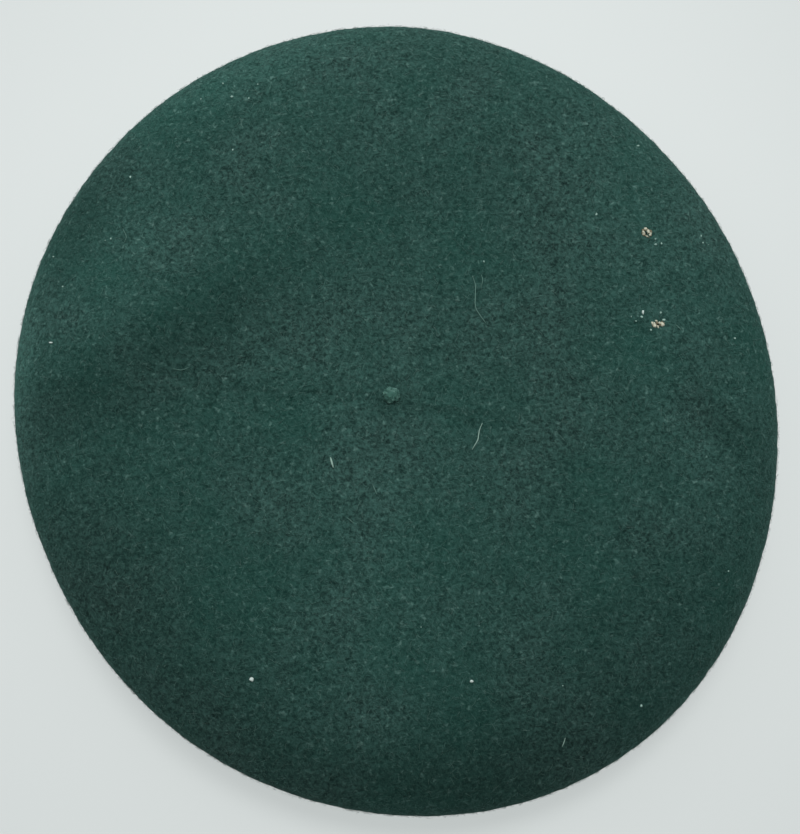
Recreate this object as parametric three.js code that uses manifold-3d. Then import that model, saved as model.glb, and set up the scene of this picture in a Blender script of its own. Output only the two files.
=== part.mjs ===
// A felted-wool beret with a leather edge binding, lying crown up. Millimetres, +Z up.
// +X is the wearer's front, +Y the wearer's left, and the binding's foot stands on z = 0.
// The origin is under the middle of the crown.
import * as THREE from 'three';
import { mergeVertices } from 'three/addons/utils/BufferGeometryUtils.js';
import Module from 'manifold-3d';

const wasm = await Module();
wasm.setup();

const degrees = THREE.MathUtils.degToRad;
const mix = THREE.MathUtils.lerp;
const smoothstep = THREE.MathUtils.smoothstep;
const QUARTER_TURN = Math.PI / 2;
const FULL_TURN = 2 * Math.PI;

// ---- Driving dimensions ----

// Clearance between pieces that touch.
const GAP = 0.3;

// Head opening inside the binding: an oval for a 58 cm head.
const HEAD_LENGTH = 200;
const HEAD_WIDTH = 168;

// Widest line of the crown: a circle pulled longer along one diagonal, with soft uneven lobes.
const CROWN_RADIUS = 134.6;
const CROWN_LOBES = [
  { count: 2, height: 4.9, turn: degrees(113) },
  { count: 3, height: 0.7, turn: degrees(67) },
  { count: 5, height: 0.4, turn: degrees(21) },
];

// Section of the felt: a wall inside the binding, a bend, a flare, a rolled rim and a flat dome.
const FELT_THICKNESS = 2.2;
const EDGE_HEIGHT = 5.5;
const WALL_TOP = 17;
const NECK_BEND = 3.5;
const FLARE_SAG = 3.5;
const RIM_ROLL = 8;
const RIM_HEIGHT = 24;
const CROWN_HEIGHT = 44.5;
const CROWN_FLATNESS = 4.5;

// Nub left from the first stitches of the knitted blank.
const NUB = { x: -1.3, y: -0.6, radius: 2.5, waist: 2, height: 2.2 };

// Lining, cut as a round tip and a side band, and the space that the stiffener fills.
const LINING_THICKNESS = 0.5;
const STIFFENER_SPACE = 2.2;
const SEAM_THREAD_RADIUS = 0.4;

// Leather strip folded round the felt's edge.
const LEATHER_THICKNESS = 1.1;
const FOLD_BEVEL = 1;
const OUTER_LIP = 15;
const INNER_LIP = 16.5;
const BACK_OPENING = 4;
const BINDING_THREAD = { radius: 0.35, height: 12.6 };

// Drawstring tape in the fold, tied in a small bow behind.
const TAPE = { width: 3, thickness: 1, height: 3.2 };
const KNOT = { out: 3.6, height: 5.4, depth: 2.6, halfWidth: 3.2, halfHeight: 2.8 };

// Ventilation eyelets under the wearer's right side.
const VENT = { hole: 3.2, barrel: 2.9, bore: 2.1, flange: 5.2, lip: 4.1, sheet: 0.5, apart: 50 };

// Buckram panel that backs the badge place, at the front left of the crown.
const STIFFENER = { turn: degrees(24), halfTurn: degrees(14), station: 4.58, halfStation: 0.2, thickness: 0.9 };

// Blank woven labels.
const LABEL = { length: 44, width: 62, thickness: 0.4, corner: 3, hem: 3 };
const SIZE_LABEL = { turn: degrees(150), halfTurn: degrees(4), station: 0.27, halfStation: 0.24 };

// ---- Values that follow from them ----

const FELT_OUTSIDE = LEATHER_THICKNESS + GAP + LINING_THICKNESS + GAP + FELT_THICKNESS;
const BINDING_WIDTH = FELT_OUTSIDE + GAP + LEATHER_THICKNESS;
const FLARE_TOP = WALL_TOP + NECK_BEND;
const FLARE_BOTTOM = FLARE_TOP - FLARE_SAG;
const LINING_DEPTH = FELT_THICKNESS + STIFFENER_SPACE;

// ---- Mesh resolution ----

const TURN_STEPS = 60;
const THREAD_SIDES = 5;
const ROUND_STEPS = 16;
const PATCH_SIDES = 28;

// ---- Solids from sections ----

// Triangles that join each closed section to the next.
function sideTriangles(sections, wrapsAround) {
  const size = sections[0].length;
  const spans = wrapsAround ? sections.length : sections.length - 1;
  const index = [];
  for (let i = 0; i < spans; i += 1) {
    const here = i * size;
    const next = ((i + 1) % sections.length) * size;
    for (let j = 0; j < size; j += 1) {
      const k = (j + 1) % size;
      index.push(here + j, next + j, next + k);
      index.push(here + j, next + k, here + k);
    }
  }
  return index;
}

// Sections all the way round. Where they meet at a pole, the triangles that shrink to a line are dropped.
function closedBody(sections) {
  return meshFrom(sections.flat(), sideTriangles(sections, true));
}

// An open run with flat ends. Each section repeats one plane outline, listed anticlockwise.
function cappedBody(sections, outline) {
  const index = sideTriangles(sections, false);
  const caps = THREE.ShapeUtils.triangulateShape(outline.map(([x, y]) => new THREE.Vector2(x, y)), []);
  const last = (sections.length - 1) * outline.length;
  for (const [a, b, c] of caps) {
    index.push(a, b, c);
    index.push(last + a, last + c, last + b);
  }
  return meshFrom(sections.flat(), index);
}

function meshFrom(points, index) {
  const geometry = new THREE.BufferGeometry().setFromPoints(points);
  geometry.setIndex(index);
  const merged = mergeVertices(geometry, 1e-3);
  const kept = [];
  const corners = merged.index.array;
  for (let i = 0; i < corners.length; i += 3) {
    const [a, b, c] = corners.slice(i, i + 3);
    if (a !== b && b !== c && c !== a) {
      kept.push(a, b, c);
    }
  }
  merged.setIndex(kept);
  return merged;
}

function toSolid(geometry) {
  const bare = geometry.clone();
  bare.deleteAttribute('normal');
  bare.deleteAttribute('uv');
  const merged = mergeVertices(bare, 1e-4);
  const triVerts = Uint32Array.from(merged.index.array);
  const vertProperties = Float32Array.from(merged.attributes.position.array);
  return new wasm.Manifold(new wasm.Mesh({ numProp: 3, vertProperties, triVerts }));
}

function fromSolid(solid) {
  const { vertProperties, triVerts } = solid.getMesh();
  const geometry = new THREE.BufferGeometry();
  geometry.setAttribute('position', new THREE.BufferAttribute(vertProperties, 3));
  geometry.setIndex([...triVerts]);
  return geometry;
}

// ---- The two outlines, seen from above ----

// The head oval, moved outward by a distance along its normal.
function headOval(turn, outward) {
  const halfLength = HEAD_LENGTH / 2;
  const halfWidth = HEAD_WIDTH / 2;
  const normal = new THREE.Vector2(Math.cos(turn) / halfLength, Math.sin(turn) / halfWidth).normalize();
  const onOval = new THREE.Vector2(halfLength * Math.cos(turn), halfWidth * Math.sin(turn));
  return onOval.addScaledVector(normal, outward);
}

function unevenCircle(turn) {
  const lobes = CROWN_LOBES.map((lobe) => lobe.height * Math.cos(lobe.count * (turn - lobe.turn)));
  const radius = CROWN_RADIUS + lobes.reduce((sum, height) => sum + height, 0);
  return new THREE.Vector2(radius * Math.cos(turn), radius * Math.sin(turn));
}

const outlineSamples = Array.from({ length: 360 }, (_, i) => unevenCircle(degrees(i)));
const outlineCentre = new THREE.Box2().setFromPoints(outlineSamples).getCenter(new THREE.Vector2());

function crownOutline(turn) {
  return unevenCircle(turn).sub(outlineCentre);
}

// ---- The felt's surface ----

// A station counts the legs of the section passed since the felt's lower edge.
const STATION = { edge: 0, neck: 1, flare: 2, rimRoll: 3, rim: 4, nub: 5 };

// Distance out from the head oval, and height, part-way along each leg below the rim.
const lowerLegs = [
  (part) => [0, mix(EDGE_HEIGHT, WALL_TOP, part)],
  (part) => [
    NECK_BEND * (1 - Math.cos(part * QUARTER_TURN)),
    WALL_TOP + NECK_BEND * Math.sin(part * QUARTER_TURN),
  ],
  (part, reach) => [
    mix(NECK_BEND, reach - RIM_ROLL, part),
    mix(FLARE_TOP, FLARE_BOTTOM, smoothstep(part, 0, 1)),
  ],
  (part, reach) => [
    reach - RIM_ROLL * (1 - Math.sin(part * QUARTER_TURN)),
    mix(RIM_HEIGHT, FLARE_BOTTOM, Math.cos(part * QUARTER_TURN)),
  ],
];

function feltSurface(turn, station) {
  const rim = crownOutline(turn);
  if (station >= STATION.rim) {
    const angle = (station - STATION.rim) * QUARTER_TURN;
    const spread = Math.cos(angle) ** (2 / CROWN_FLATNESS);
    const height = mix(RIM_HEIGHT, CROWN_HEIGHT, Math.sin(angle));
    return new THREE.Vector3(mix(NUB.x, rim.x, spread), mix(NUB.y, rim.y, spread), height);
  }
  const foot = headOval(turn, FELT_OUTSIDE);
  const reach = foot.distanceTo(rim);
  const leg = Math.floor(station);
  const [out, height] = lowerLegs[leg](station - leg, reach);
  const plan = foot.lerp(rim, out / reach);
  return new THREE.Vector3(plan.x, plan.y, height);
}

function feltNormal(turn, station) {
  const step = 1e-3;
  const below = Math.max(station - step, STATION.edge);
  const above = Math.min(station + step, STATION.nub);
  const around = feltSurface(turn + step, station).sub(feltSurface(turn - step, station));
  const upward = feltSurface(turn, above).sub(feltSurface(turn, below));
  return around.cross(upward).normalize();
}

// A point at a depth below the felt's outer face.
function inside(turn, station, depth) {
  return feltSurface(turn, station).addScaledVector(feltNormal(turn, station), -depth);
}

function ringTurns(steps) {
  return Array.from({ length: steps }, (_, i) => (FULL_TURN * i) / steps);
}

// Evenly spaced stations, with both ends.
function stationsFrom(first, last, steps) {
  return Array.from({ length: steps + 1 }, (_, i) => mix(first, last, i / steps));
}

// ---- Shells that follow the felt ----

// A shell over the stations listed, from one depth to another. It closes at the nub if it gets there.
function shell(stations, outerDepth, innerDepth) {
  const sections = ringTurns(TURN_STEPS).map((turn) => {
    const outer = stations.map((station) => inside(turn, station, outerDepth(station)));
    const inner = stations.map((station) => inside(turn, station, innerDepth(station)));
    return [...outer, ...inner.reverse()];
  });
  return closedBody(sections);
}

// A thin patch with rounded corners that follows the felt between two depths.
function patch(place, squareness, outerDepth, innerDepth) {
  const bulge = (value) => Math.sign(value) * Math.abs(value) ** (2 / squareness);
  const sections = ringTurns(PATCH_SIDES).map((angle) => {
    const across = place.halfTurn * bulge(Math.cos(angle));
    const along = place.halfStation * bulge(Math.sin(angle));
    const at = (share, depth) => inside(place.turn + share * across, place.station + share * along, depth);
    return [
      at(0, innerDepth),
      at(0.5, innerDepth),
      at(1, innerDepth),
      at(1, outerDepth),
      at(0.5, outerDepth),
      at(0, outerDepth),
    ];
  });
  return closedBody(sections);
}

function feltCrown() {
  const stations = [
    STATION.edge,
    ...stationsFrom(STATION.neck, STATION.flare, 2),
    ...stationsFrom(STATION.flare, STATION.rimRoll, 3).slice(1),
    ...stationsFrom(STATION.rimRoll, STATION.rim, 3).slice(1),
    ...stationsFrom(STATION.rim, STATION.nub, 9).slice(1),
  ];
  const blank = shell(stations, () => 0, () => FELT_THICKNESS);
  return fromSolid(ventPlaces().reduce((solid, place) => solid.subtract(ventHole(place)), toSolid(blank)));
}

function crownNub() {
  const { radius, waist, height } = NUB;
  return lathe([
    [0, 0],
    [radius, 0],
    [waist, height * 0.35],
    [radius * 0.98, height * 0.7],
    [radius * 0.7, height * 0.95],
    [0, height],
  ]);
}

// ---- Lining ----

const LINING_SEAM = 4.52;
const liningDepth = (station) => mix(
  FELT_THICKNESS + GAP,
  LINING_DEPTH,
  smoothstep(station, STATION.neck, STATION.flare),
);
const liningInnerDepth = (station) => liningDepth(station) + LINING_THICKNESS;

function liningTip() {
  const seamClearance = 0.006;
  return shell(stationsFrom(LINING_SEAM + seamClearance, STATION.nub, 4), liningDepth, liningInnerDepth);
}

function liningSide() {
  const lowerEdge = 0.08;
  const stations = [
    lowerEdge,
    ...stationsFrom(STATION.neck, STATION.flare, 2),
    ...stationsFrom(STATION.flare, STATION.rim, 4).slice(1),
    ...stationsFrom(STATION.rim, LINING_SEAM, 3).slice(1),
  ];
  return shell(stations, liningDepth, liningInnerDepth);
}

function liningSeamThread() {
  const depth = LINING_DEPTH + LINING_THICKNESS + GAP + SEAM_THREAD_RADIUS;
  const sections = ringTurns(TURN_STEPS).map((turn) => {
    const centre = inside(turn, LINING_SEAM, depth);
    const outward = new THREE.Vector3(Math.cos(turn), Math.sin(turn), 0);
    return roundSection(centre, outward, SEAM_THREAD_RADIUS);
  });
  return closedBody(sections);
}

// A round section across a path that runs anticlockwise, seen from above.
function roundSection(centre, outward, radius) {
  return ringTurns(THREAD_SIDES).map((angle) => {
    const point = centre.clone().addScaledVector(outward, radius * Math.cos(angle));
    point.z += radius * Math.sin(angle);
    return point;
  });
}

// ---- Leather binding and its thread ----

// Turns round the oval that stop short of the opening at the back.
function turnsWithOpening(opening) {
  const halfOpening = opening / 2 / (HEAD_LENGTH / 2 + FELT_OUTSIDE);
  const turns = Array.from({ length: TURN_STEPS + 1 }, (_, i) => -Math.PI + (FULL_TURN * i) / TURN_STEPS);
  turns[0] += halfOpening;
  turns[TURN_STEPS] -= halfOpening;
  return turns;
}

// Sweeps an outline, given as distances out from the head oval and heights, round the head.
function sweepRound(turns, outline) {
  const sections = turns.map((turn) => outline.map(([outward, height]) => {
    const plan = headOval(turn, outward);
    return new THREE.Vector3(plan.x, plan.y, height);
  }));
  return cappedBody(sections, outline);
}

function edgeBinding() {
  const outer = BINDING_WIDTH;
  const outline = [
    [outer, FOLD_BEVEL],
    [outer, OUTER_LIP],
    [outer - LEATHER_THICKNESS, OUTER_LIP],
    [outer - LEATHER_THICKNESS, LEATHER_THICKNESS],
    [LEATHER_THICKNESS, LEATHER_THICKNESS],
    [LEATHER_THICKNESS, INNER_LIP],
    [0, INNER_LIP],
    [0, FOLD_BEVEL],
    [FOLD_BEVEL, 0],
    [outer - FOLD_BEVEL, 0],
  ];
  return sweepRound(turnsWithOpening(BACK_OPENING), outline);
}

// One thread of the lockstitch, lying on a face of the leather at a distance out from the head oval.
function bindingThread(outward) {
  const outline = ringTurns(THREAD_SIDES).map((angle) => [
    outward + BINDING_THREAD.radius * Math.cos(angle),
    BINDING_THREAD.height + BINDING_THREAD.radius * Math.sin(angle),
  ]);
  const bartackRoom = 12;
  return sweepRound(turnsWithOpening(bartackRoom), outline);
}

// Dense thread that locks one end of the binding, on the outer face beside the opening.
function bartack(side) {
  const place = { turn: Math.PI + side * degrees(2), halfTurn: degrees(0.5), station: 0.42, halfStation: 0.32 };
  const face = GAP + LEATHER_THICKNESS + GAP;
  const threadBuild = 0.6;
  return patch(place, 4, -face - threadBuild, -face);
}

// ---- Drawstring ----

// A tape standing on edge along a path. The path's direction stays level.
function tape(points) {
  const halfThickness = TAPE.thickness / 2;
  const halfWidth = TAPE.width / 2;
  const outline = [
    [halfThickness, -halfWidth],
    [halfThickness, halfWidth],
    [-halfThickness, halfWidth],
    [-halfThickness, -halfWidth],
  ];
  const sections = points.map((point, i) => {
    const before = points[Math.max(i - 1, 0)];
    const after = points[Math.min(i + 1, points.length - 1)];
    const outward = new THREE.Vector2(after.y - before.y, before.x - after.x).normalize();
    return outline.map(([across, up]) => new THREE.Vector3(
      point.x + across * outward.x,
      point.y + across * outward.y,
      point.z + up,
    ));
  });
  return cappedBody(sections, outline);
}

function smoothPath(corners, steps) {
  const points = corners.map((corner) => new THREE.Vector3(...corner));
  return new THREE.CatmullRomCurve3(points).getPoints(steps);
}

function drawstring() {
  const channel = (LEATHER_THICKNESS + FELT_OUTSIDE + GAP) / 2;
  const back = -(HEAD_LENGTH / 2 + BINDING_WIDTH);
  const knotX = back - KNOT.out;
  const exitY = TAPE.thickness;
  const inChannel = turnsWithOpening(BACK_OPENING + 6).map((turn) => {
    const plan = headOval(turn, channel);
    return new THREE.Vector3(plan.x, plan.y, TAPE.height);
  });
  const exit = (side) => [
    new THREE.Vector3(back + 1.6, side * (exitY + 0.25), TAPE.height),
    new THREE.Vector3(back, side * exitY, TAPE.height),
    new THREE.Vector3(knotX, side * exitY * 0.9, TAPE.height + 0.6),
  ];
  const runs = [[...exit(-1).reverse(), ...inChannel, ...exit(1)]];
  for (const side of [-1, 1]) {
    runs.push(smoothPath([
      [knotX + 0.4, side * 1.5, KNOT.height + 0.4],
      [knotX - 2.2, side * 7, KNOT.height + 1.2],
      [knotX - 2.2, side * 14, KNOT.height + 0.6],
      [knotX + 0.6, side * 17.5, KNOT.height],
      [knotX + 2.3, side * 13, KNOT.height + 0.2],
      [knotX + 1.9, side * 6, KNOT.height + 0.4],
      [knotX + 0.2, side * 1, KNOT.height],
    ], 14));
    runs.push(smoothPath([
      [knotX - 0.8, side * 1, KNOT.height - 0.6],
      [knotX - 3.6, side * 5, KNOT.height - 1.6],
      [knotX - 6.2, side * 12, KNOT.height - 2.6],
      [knotX - 8, side * 19, KNOT.height - 3.4],
    ], 7));
  }
  const knot = new THREE.SphereGeometry(1, 12, 8);
  knot.scale(KNOT.depth, KNOT.halfWidth, KNOT.halfHeight);
  knot.translate(knotX, 0, KNOT.height);
  return fromSolid(runs.reduce((solid, run) => solid.add(toSolid(tape(run))), toSolid(knot)));
}

// ---- Ventilation eyelets ----

function ventPlaces() {
  const flareMiddle = 2.55;
  const flareRadius = 113;
  const halfAngle = Math.asin(VENT.apart / 2 / flareRadius);
  return [halfAngle, -halfAngle].map((offset) => {
    const turn = -QUARTER_TURN + offset;
    const outward = feltNormal(turn, flareMiddle);
    const turned = new THREE.Quaternion().setFromUnitVectors(new THREE.Vector3(0, 1, 0), outward);
    return { position: feltSurface(turn, flareMiddle), turned };
  });
}

function ventHole({ position, turned }) {
  const punch = new THREE.CylinderGeometry(VENT.hole, VENT.hole, 4 * FELT_THICKNESS, ROUND_STEPS);
  punch.applyQuaternion(turned);
  punch.translate(position.x, position.y, position.z);
  return toSolid(punch);
}

function lathe(profile) {
  return new THREE.LatheGeometry(profile.map(([r, h]) => new THREE.Vector2(r, h)), ROUND_STEPS);
}

// The axis points out of the felt, with its outer face at zero.
function eyelet() {
  const inner = -(FELT_THICKNESS + GAP + VENT.sheet + GAP);
  const end = inner - VENT.sheet;
  return lathe([
    [VENT.bore, end],
    [VENT.lip, end],
    [VENT.lip, inner],
    [VENT.barrel, inner],
    [VENT.barrel, GAP],
    [VENT.flange, GAP],
    [VENT.flange - 0.4, GAP + VENT.sheet],
    [VENT.bore, GAP + VENT.sheet],
    [VENT.bore, end],
  ]);
}

function ventWasher() {
  const near = -(FELT_THICKNESS + GAP);
  const far = near - VENT.sheet;
  return lathe([
    [VENT.hole, far],
    [VENT.flange, far],
    [VENT.flange, near],
    [VENT.hole, near],
    [VENT.hole, far],
  ]);
}

// ---- Stiffener and labels ----

function badgeStiffener() {
  const near = FELT_THICKNESS + GAP;
  return patch(STIFFENER, 4, near, near + STIFFENER.thickness);
}

function sizeLabel() {
  const near = FELT_OUTSIDE + GAP;
  return patch(SIZE_LABEL, 8, near, near + LABEL.thickness);
}

function roundedRectangle(Type, halfLength, halfWidth, corner) {
  const outline = new Type();
  outline.absarc(halfLength - corner, halfWidth - corner, corner, 0, QUARTER_TURN);
  outline.absarc(corner - halfLength, halfWidth - corner, corner, QUARTER_TURN, 2 * QUARTER_TURN);
  outline.absarc(corner - halfLength, corner - halfWidth, corner, 2 * QUARTER_TURN, 3 * QUARTER_TURN);
  outline.absarc(halfLength - corner, corner - halfWidth, corner, 3 * QUARTER_TURN, 4 * QUARTER_TURN);
  return outline;
}

const LINING_UNDERSIDE = CROWN_HEIGHT - LINING_DEPTH - LINING_THICKNESS;

function slabBelow(shape, top, thickness) {
  const slab = new THREE.ExtrudeGeometry(shape, { depth: thickness, bevelEnabled: false, curveSegments: 4 });
  slab.translate(0, 0, top - thickness);
  return slab;
}

function liningLabel() {
  const outline = roundedRectangle(THREE.Shape, LABEL.length / 2, LABEL.width / 2, LABEL.corner);
  return slabBelow(outline, LINING_UNDERSIDE - GAP, LABEL.thickness);
}

function liningLabelThread() {
  const threadWidth = 0.8;
  const halfLength = LABEL.length / 2 - LABEL.hem;
  const halfWidth = LABEL.width / 2 - LABEL.hem;
  const frame = roundedRectangle(THREE.Shape, halfLength, halfWidth, LABEL.corner);
  const inner = roundedRectangle(THREE.Path, halfLength - threadWidth, halfWidth - threadWidth, LABEL.corner);
  frame.holes.push(inner);
  return slabBelow(frame, LINING_UNDERSIDE - GAP - LABEL.thickness - GAP, threadWidth / 2);
}

// ---- Assembly ----

const beret = new THREE.Group();

function add(name, geometry, color, roughness, metalness = 0) {
  const mesh = new THREE.Mesh(geometry, new THREE.MeshStandardMaterial({ color, roughness, metalness }));
  mesh.name = name;
  beret.add(mesh);
  return mesh;
}

const FELT_GREEN = 0x2b4741;
const LINING_BLACK = 0x1c1f22;
const LEATHER_BLACK = 0x17181a;
const THREAD_BLACK = 0x202224;
const TAPE_BLACK = 0x1e1f22;
const JAPANNED_BRASS = 0x2a2b28;
const BUCKRAM = 0xcfc6ac;
const LABEL_WHITE = 0xd9d8d0;

add('crown_felt_shell', feltCrown(), FELT_GREEN, 1);
add('crown_nub', crownNub(), FELT_GREEN, 1);
add('lining_tip', liningTip(), LINING_BLACK, 0.6);
add('lining_side', liningSide(), LINING_BLACK, 0.6);
add('lining_seam_thread', liningSeamThread(), THREAD_BLACK, 0.7);
add('badge_stiffener', badgeStiffener(), BUCKRAM, 0.9);
add('edge_binding', edgeBinding(), LEATHER_BLACK, 0.5);
add('drawstring', drawstring(), TAPE_BLACK, 0.9);
add('binding_needle_thread', bindingThread(BINDING_WIDTH + GAP + BINDING_THREAD.radius), THREAD_BLACK, 0.7);
add('binding_bobbin_thread', bindingThread(-GAP - BINDING_THREAD.radius), THREAD_BLACK, 0.7);
add('bartack_left', bartack(-1), THREAD_BLACK, 0.7);
add('bartack_right', bartack(1), THREAD_BLACK, 0.7);
add('lining_label', liningLabel(), LABEL_WHITE, 0.8);
add('lining_label_thread', liningLabelThread(), THREAD_BLACK, 0.7);
add('size_label', sizeLabel(), LABEL_WHITE, 0.8);

const nub = beret.getObjectByName('crown_nub');
nub.rotation.x = QUARTER_TURN;
nub.position.set(NUB.x, NUB.y, CROWN_HEIGHT + GAP);

const VENT_NAMES = ['front', 'rear'];
ventPlaces().forEach(({ position, turned }, i) => {
  const pieces = [
    add(`vent_eyelet_${VENT_NAMES[i]}`, eyelet(), JAPANNED_BRASS, 0.4, 1),
    add(`vent_washer_${VENT_NAMES[i]}`, ventWasher(), JAPANNED_BRASS, 0.4, 1),
  ];
  for (const piece of pieces) {
    piece.position.copy(position);
    piece.quaternion.copy(turned);
  }
});

export default beret;
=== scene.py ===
import math

import bmesh
import bpy
import numpy as np
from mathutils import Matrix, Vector


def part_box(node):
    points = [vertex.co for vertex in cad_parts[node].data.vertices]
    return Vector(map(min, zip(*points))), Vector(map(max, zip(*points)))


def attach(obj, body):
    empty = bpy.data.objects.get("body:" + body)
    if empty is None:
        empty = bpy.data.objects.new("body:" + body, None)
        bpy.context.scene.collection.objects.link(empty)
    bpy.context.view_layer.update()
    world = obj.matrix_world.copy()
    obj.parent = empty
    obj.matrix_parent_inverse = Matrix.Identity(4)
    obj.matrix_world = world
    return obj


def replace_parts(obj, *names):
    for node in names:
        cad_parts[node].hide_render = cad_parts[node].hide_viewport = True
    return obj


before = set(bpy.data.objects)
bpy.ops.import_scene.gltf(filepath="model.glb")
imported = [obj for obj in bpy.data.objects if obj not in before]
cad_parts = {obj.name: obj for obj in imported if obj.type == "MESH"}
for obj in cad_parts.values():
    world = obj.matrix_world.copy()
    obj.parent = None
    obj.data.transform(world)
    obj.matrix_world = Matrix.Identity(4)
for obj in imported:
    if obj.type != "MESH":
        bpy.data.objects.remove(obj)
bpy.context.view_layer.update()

MM = 0.001
QUARTER = math.pi / 2
FULL = 2 * math.pi

# ---- Driving dimensions, the same as the CAD model's ----

GAP = 0.3 * MM
HEAD_LENGTH = 200 * MM
HEAD_WIDTH = 168 * MM

CROWN_RADIUS = 134.6 * MM
# Waves of the crown's outline: how many, how high, and where the first one is. They are rounded from waves
# that a scratch program fitted to the photo's silhouette.
CROWN_LOBES = [
    (2, 4.9 * MM, math.radians(113)),
    (3, 0.7 * MM, math.radians(67)),
    (5, 0.4 * MM, math.radians(21)),
]
RIM_SAG = [  # the same for the height that the slack rim hangs at
    (2, -1.1 * MM, 2.0),
    (3, -0.7 * MM, 3.3),
    (5, 0.4 * MM, -0.2),
]

FELT = 2.2 * MM
EDGE_HEIGHT = 5.5 * MM
WALL_TOP = 17 * MM
NECK_BEND = 3.5 * MM
FLARE_SAG = 3.5 * MM
RIM_ROLL = 8 * MM
RIM_HEIGHT = 24 * MM
CROWN_HEIGHT = 44.5 * MM
CROWN_FLATNESS = 4.5
NUB = np.array([-1.3, -0.6]) * MM

LINING = 0.5 * MM
STIFFENER_SPACE = 2.2 * MM
LEATHER = 1.1 * MM
OUTER_LIP = 15 * MM
INNER_LIP = 16.5 * MM
BACK_OPENING = 4 * MM
STITCH_HEIGHT = 12.6 * MM
STITCH_PITCH = 3.2 * MM

FELT_OUTSIDE = LEATHER + GAP + LINING + GAP + FELT
BINDING_WIDTH = FELT_OUTSIDE + GAP + LEATHER
FLARE_TOP = WALL_TOP + NECK_BEND
FLARE_BOTTOM = FLARE_TOP - FLARE_SAG
LINING_DEPTH = FELT + STIFFENER_SPACE
LINING_SEAM = 4.52

# Stations up the felt, from its lower edge to the nub
EDGE, NECK, FLARE, RIM_TURN, RIM, TOP = range(6)


# ---- The felt's surface ----


def mix(a, b, share):
    return a + (b - a) * share


def smoothstep(value, low, high):
    share = np.clip((value - low) / (high - low), 0, 1)
    return share * share * (3 - 2 * share)


def head_oval(turn, outward):
    """Points of the head oval, moved outward along its normal."""
    half = np.array([HEAD_LENGTH, HEAD_WIDTH]) / 2
    around = np.stack([np.cos(turn), np.sin(turn)], axis=-1)
    normal = around / half
    normal = normal / np.linalg.norm(normal, axis=-1, keepdims=True)
    return around * half + normal * np.asarray(outward)[..., None]


def waves_round(turn, waves):
    """The sum of even waves round the beret, from rows of how many, how high and where the first one is."""
    return sum(height * np.cos(count * (turn - first)) for count, height, first in waves)


def uneven_circle(turn):
    radius = CROWN_RADIUS + waves_round(turn, CROWN_LOBES)
    return np.stack([radius * np.cos(turn), radius * np.sin(turn)], axis=-1)


SAMPLES = uneven_circle(np.radians(np.arange(360)))
OUTLINE_CENTRE = (SAMPLES.min(axis=0) + SAMPLES.max(axis=0)) / 2


def crown_outline(turn):
    return uneven_circle(turn) - OUTLINE_CENTRE


def felt_surface(turn, station):
    """Points of the felt's outer face.

    The turn goes round the beret. A station counts the legs of its section passed since the lower edge.
    """
    turn, station = np.broadcast_arrays(np.asarray(turn, float), np.asarray(station, float))
    rim = crown_outline(turn)
    foot = head_oval(turn, FELT_OUTSIDE)
    reach = np.linalg.norm(rim - foot, axis=-1)
    leg = np.minimum(np.floor(station), RIM)
    part = station - leg
    swing = part * QUARTER
    below = [leg == EDGE, leg == NECK, leg == FLARE, leg == RIM_TURN]
    out = np.select(below, [
        np.zeros_like(part),
        NECK_BEND * (1 - np.cos(swing)),
        mix(NECK_BEND, reach - RIM_ROLL, part),
        reach - RIM_ROLL * (1 - np.sin(swing)),
    ], reach)
    height = np.select(below, [
        mix(EDGE_HEIGHT, WALL_TOP, part),
        WALL_TOP + NECK_BEND * np.sin(swing),
        mix(FLARE_TOP, FLARE_BOTTOM, smoothstep(part, 0, 1)),
        mix(RIM_HEIGHT, FLARE_BOTTOM, np.cos(swing)),
    ], mix(RIM_HEIGHT, CROWN_HEIGHT, np.sin(swing)))
    spread = np.where(leg == RIM, np.cos(swing).clip(0) ** (2 / CROWN_FLATNESS), 1)
    plan = foot + (rim - foot) * (out / reach)[..., None]
    plan = NUB + (plan - NUB) * spread[..., None]
    return np.concatenate([plan, height[..., None]], axis=-1)


def felt_normal(turn, station):
    step = 1e-3
    around = felt_surface(turn + step, station) - felt_surface(turn - step, station)
    above = felt_surface(turn, np.minimum(station + step, TOP))
    below = felt_surface(turn, np.maximum(station - step, EDGE))
    normal = np.cross(around, above - below)
    return normal / np.linalg.norm(normal, axis=-1, keepdims=True)


def run_along(points):
    """The distance gone along a path at each of its points."""
    steps = np.linalg.norm(np.diff(points, axis=0), axis=-1)
    return np.concatenate([[0], np.cumsum(steps)])


def even_stations(first, last, spacing):
    """Stations an even distance apart along the felt, with both ends."""
    fine = np.linspace(first, last, 4000)
    measured_turn = 0.6
    run = run_along(felt_surface(measured_turn, fine))
    count = max(2, round(run[-1] / spacing) + 1)
    return np.interp(np.linspace(0, run[-1], count), run, fine)


def ripple(points, wavelength, seed):
    """A smooth random field with about unit spread: plane waves of many directions, near one wavelength."""
    draw = np.random.default_rng(seed)
    count = 26
    directions = draw.normal(size=(count, 3))
    directions /= np.linalg.norm(directions, axis=1, keepdims=True)
    numbers = FULL / (wavelength * draw.uniform(0.75, 1.4, count))
    phases = draw.uniform(0, FULL, count)
    field = np.zeros(points.shape[:-1])
    for direction, number, phase in zip(directions, numbers, phases):
        field += np.cos(points @ direction * number + phase)
    return field * math.sqrt(2 / count)
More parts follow.
